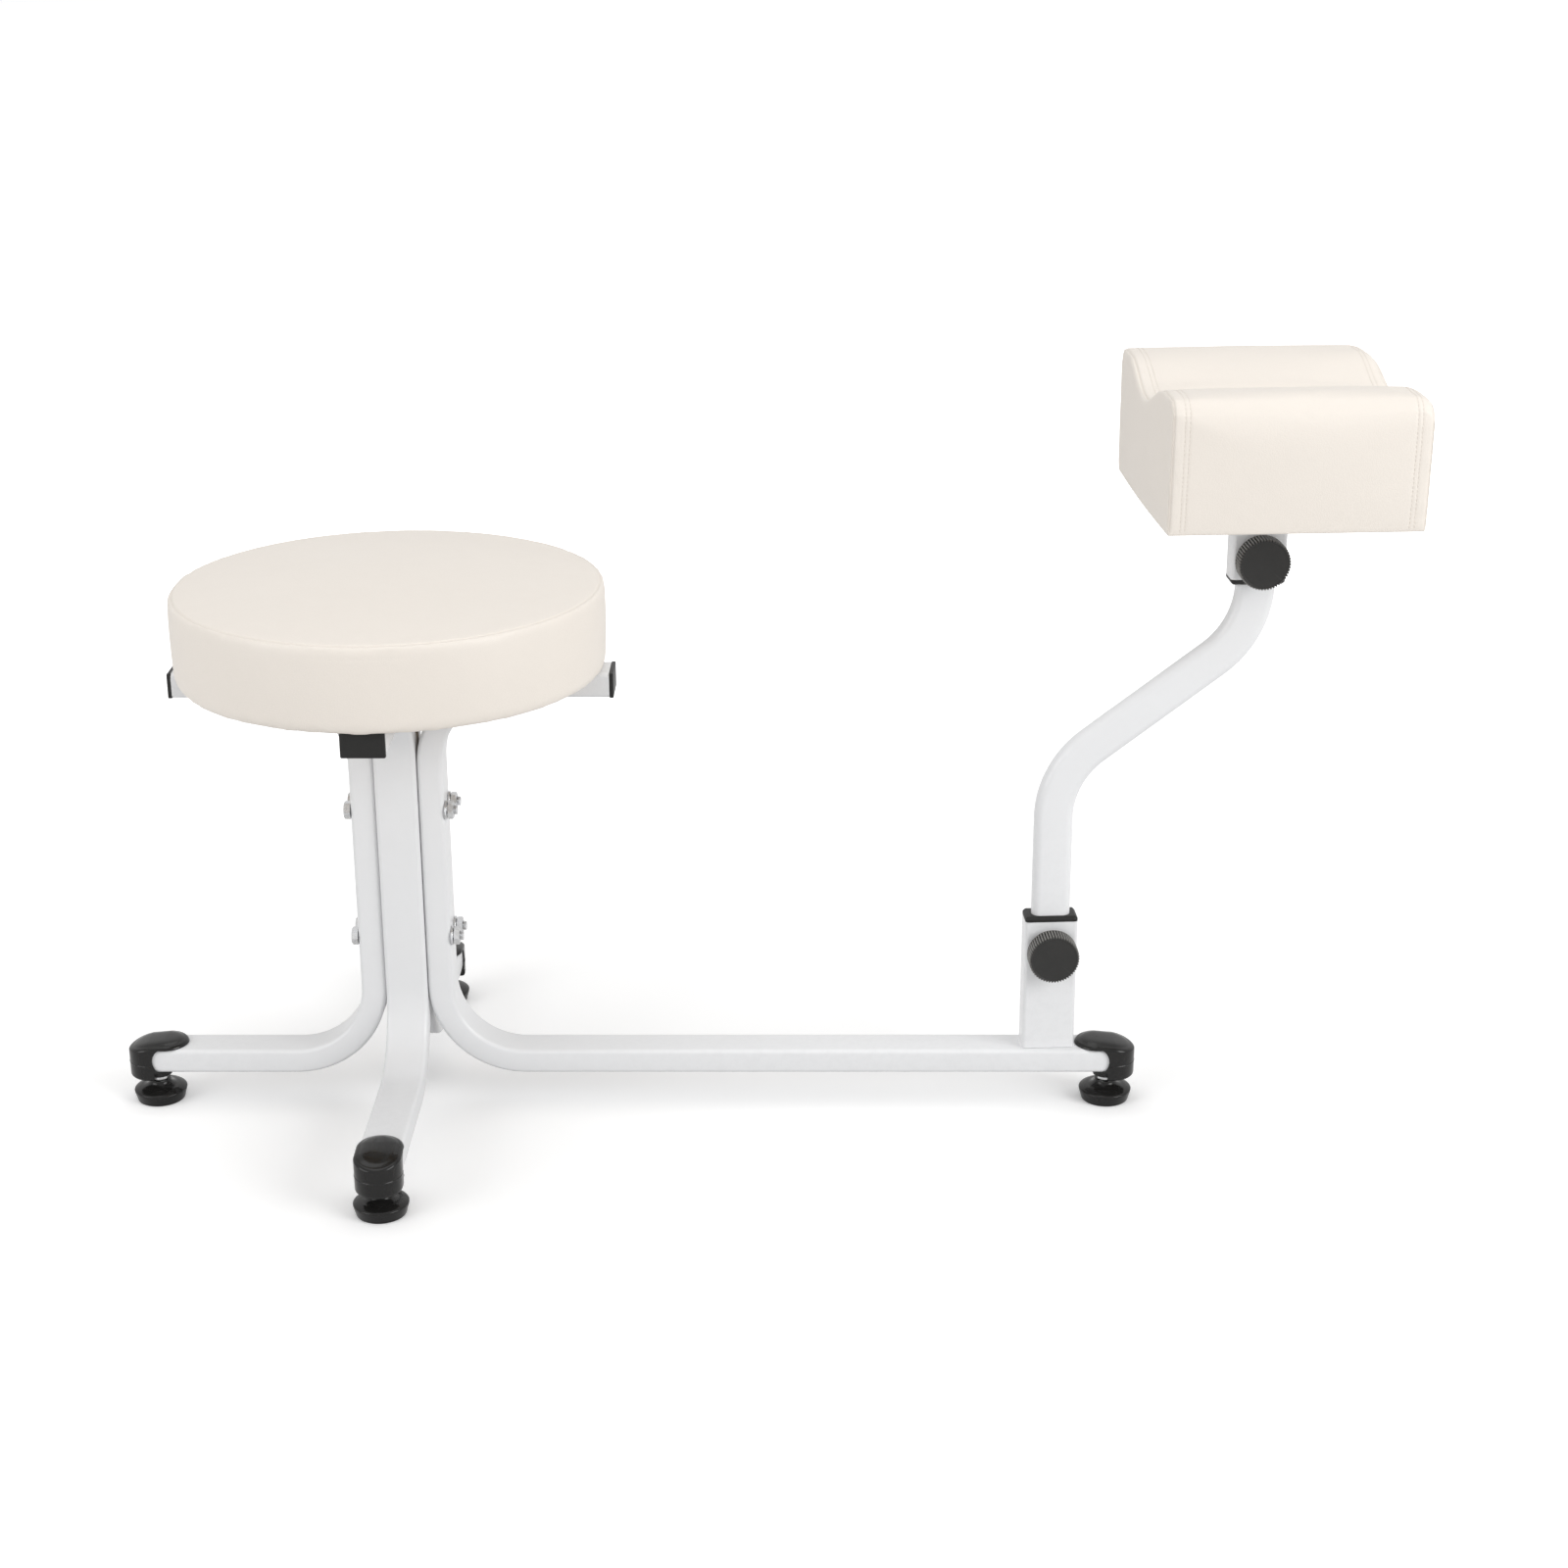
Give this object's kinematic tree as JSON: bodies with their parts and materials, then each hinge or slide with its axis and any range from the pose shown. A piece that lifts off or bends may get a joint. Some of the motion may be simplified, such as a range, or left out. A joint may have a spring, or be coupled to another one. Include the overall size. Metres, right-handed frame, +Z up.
{
  "type": "stool with footrest",
  "caption": "Round padded stool on four bent tube legs, whose long leg carries a cranked arm with a padded footrest, held at its height by two clamp knobs.",
  "frame": {"origin": "middle of the whole object's box, on the floor under the levelling feet", "axes": "+X along the long leg, from the stool's column towards the footrest; +Y to the rear, away from the clamp knobs; +Z up"},
  "size_m": [1.0256, 0.4424, 0.6151],
  "materials": {
    "white_paint": "satin white powder coat",
    "zinc": "bright zinc plated fasteners",
    "black_plastic": "glossy moulded black plastic",
    "knob_plastic": "satin moulded black plastic with fine flutes",
    "ivory_vinyl": "smooth ivory upholstery vinyl with a fine grain",
    "plywood": "raw plywood"
  },
  "bodies": {
    "base": {"arm_plug_front": "black_plastic", "arm_plug_left": "black_plastic", "arm_plug_rear": "black_plastic", "arm_plug_right": "black_plastic", "foot_cap_front": "black_plastic", "foot_cap_left": "black_plastic", "foot_cap_rear": "black_plastic", "foot_cap_right": "black_plastic", "foot_lock_nut_front": "zinc", "foot_lock_nut_left": "zinc", "foot_lock_nut_rear": "zinc", "foot_lock_nut_right": "zinc", "frame_bolt_1": "zinc", "frame_bolt_2": "zinc", "frame_bolt_3": "zinc", "frame_bolt_4": "zinc", "frame_nut_1": "zinc", "frame_nut_2": "zinc", "frame_nut_3": "zinc", "frame_nut_4": "zinc", "frame_tube_front": "white_paint", "frame_tube_left": "white_paint", "frame_tube_rear": "white_paint", "frame_tube_right": "white_paint", "frame_washer_1": "zinc", "frame_washer_2": "zinc", "frame_washer_3": "zinc", "frame_washer_4": "zinc", "post_bushing": "black_plastic", "seat_board": "plywood", "seat_cushion": "ivory_vinyl", "seat_screw_front": "zinc", "seat_screw_left": "zinc", "seat_screw_rear": "zinc", "seat_screw_right": "zinc", "socket_post": "white_paint"},
    "arm": {"cranked_tube": "white_paint", "tube_foot_plug": "black_plastic", "tube_head_plug": "black_plastic"},
    "pad_carrier": {"pad_socket": "white_paint", "pad_bushing": "black_plastic", "pad_plate": "white_paint", "pad_board": "plywood", "pad_cushion": "ivory_vinyl", "pad_screw_1": "zinc", "pad_screw_2": "zinc", "pad_screw_3": "zinc", "pad_screw_4": "zinc"},
    "lower_clamp_stud": {"lower_knob_stud": "zinc"},
    "lower_clamp_knob": {"lower_knob": "knob_plastic"},
    "upper_clamp_stud": {"upper_knob_stud": "zinc"},
    "upper_clamp_knob": {"upper_knob": "knob_plastic"},
    "foot_right_stud": {"foot_stud_right": "zinc"},
    "foot_right": {"levelling_foot_right": "black_plastic"},
    "foot_rear_stud": {"foot_stud_rear": "zinc"},
    "foot_rear": {"levelling_foot_rear": "black_plastic"},
    "foot_left_stud": {"foot_stud_left": "zinc"},
    "foot_left": {"levelling_foot_left": "black_plastic"},
    "foot_front_stud": {"foot_stud_front": "zinc"},
    "foot_front": {"levelling_foot_front": "black_plastic"}
  },
  "joints": [
    {"name": "arm_height", "type": "slide", "parent": "base", "child": "arm", "axis": [0, 0, 1], "range_m": [-0.03, 0.03]},
    {"name": "pad_height", "type": "slide", "parent": "arm", "child": "pad_carrier", "axis": [0, 0, 1], "range_m": [-0.005, 0.016]},
    {"name": "lower_knob_turn", "type": "hinge", "parent": "lower_clamp_stud", "child": "lower_clamp_knob", "pos_m": [0.25605, -0.02675, 0.1386], "axis": [0.061, -0.9981, 0], "range_deg": [0, 722]},
    {"name": "lower_knob_advance", "type": "slide", "parent": "base", "child": "lower_clamp_stud", "axis": [0.061, -0.9981, 0], "range_m": [0, 0.0025]},
    {"name": "upper_knob_turn", "type": "hinge", "parent": "upper_clamp_stud", "child": "upper_clamp_knob", "pos_m": [0.40977, -0.01735, 0.46771], "axis": [0.061, -0.9981, 0], "range_deg": [0, 722]},
    {"name": "upper_knob_advance", "type": "slide", "parent": "pad_carrier", "child": "upper_clamp_stud", "axis": [0.061, -0.9981, 0], "range_m": [0, 0.0025]},
    {"name": "foot_right_turn", "type": "hinge", "parent": "foot_right_stud", "child": "foot_right", "pos_m": [0.30492, 0, 0.012], "axis": [0, 0, -1], "range_deg": [0, 2163]},
    {"name": "foot_right_advance", "type": "slide", "parent": "base", "child": "foot_right_stud", "axis": [0, 0, -1], "range_m": [0, 0.0075]},
    {"name": "foot_rear_turn", "type": "hinge", "parent": "foot_rear_stud", "child": "foot_rear", "pos_m": [-0.27438, 0.19775, 0.012], "axis": [0, 0, -1], "range_deg": [0, 2163]},
    {"name": "foot_rear_advance", "type": "slide", "parent": "base", "child": "foot_rear_stud", "axis": [0, 0, -1], "range_m": [0, 0.0075]},
    {"name": "foot_left_turn", "type": "hinge", "parent": "foot_left_stud", "child": "foot_left", "pos_m": [-0.48928, 0, 0.012], "axis": [0, 0, -1], "range_deg": [0, 2163]},
    {"name": "foot_left_advance", "type": "slide", "parent": "base", "child": "foot_left_stud", "axis": [0, 0, -1], "range_m": [0, 0.0075]},
    {"name": "foot_front_turn", "type": "hinge", "parent": "foot_front_stud", "child": "foot_front", "pos_m": [-0.27438, -0.19775, 0.012], "axis": [0, 0, -1], "range_deg": [0, 2163]},
    {"name": "foot_front_advance", "type": "slide", "parent": "base", "child": "foot_front_stud", "axis": [0, 0, -1], "range_m": [0, 0.0075]}
  ],
  "couplings": [
    {"joint": "lower_knob_turn", "follows": "lower_knob_advance", "rad_per_m": 5026.5},
    {"joint": "upper_knob_turn", "follows": "upper_knob_advance", "rad_per_m": 5026.5},
    {"joint": "foot_right_turn", "follows": "foot_right_advance", "rad_per_m": 5026.5},
    {"joint": "foot_rear_turn", "follows": "foot_rear_advance", "rad_per_m": 5026.5},
    {"joint": "foot_left_turn", "follows": "foot_left_advance", "rad_per_m": 5026.5},
    {"joint": "foot_front_turn", "follows": "foot_front_advance", "rad_per_m": 5026.5}
  ]
}
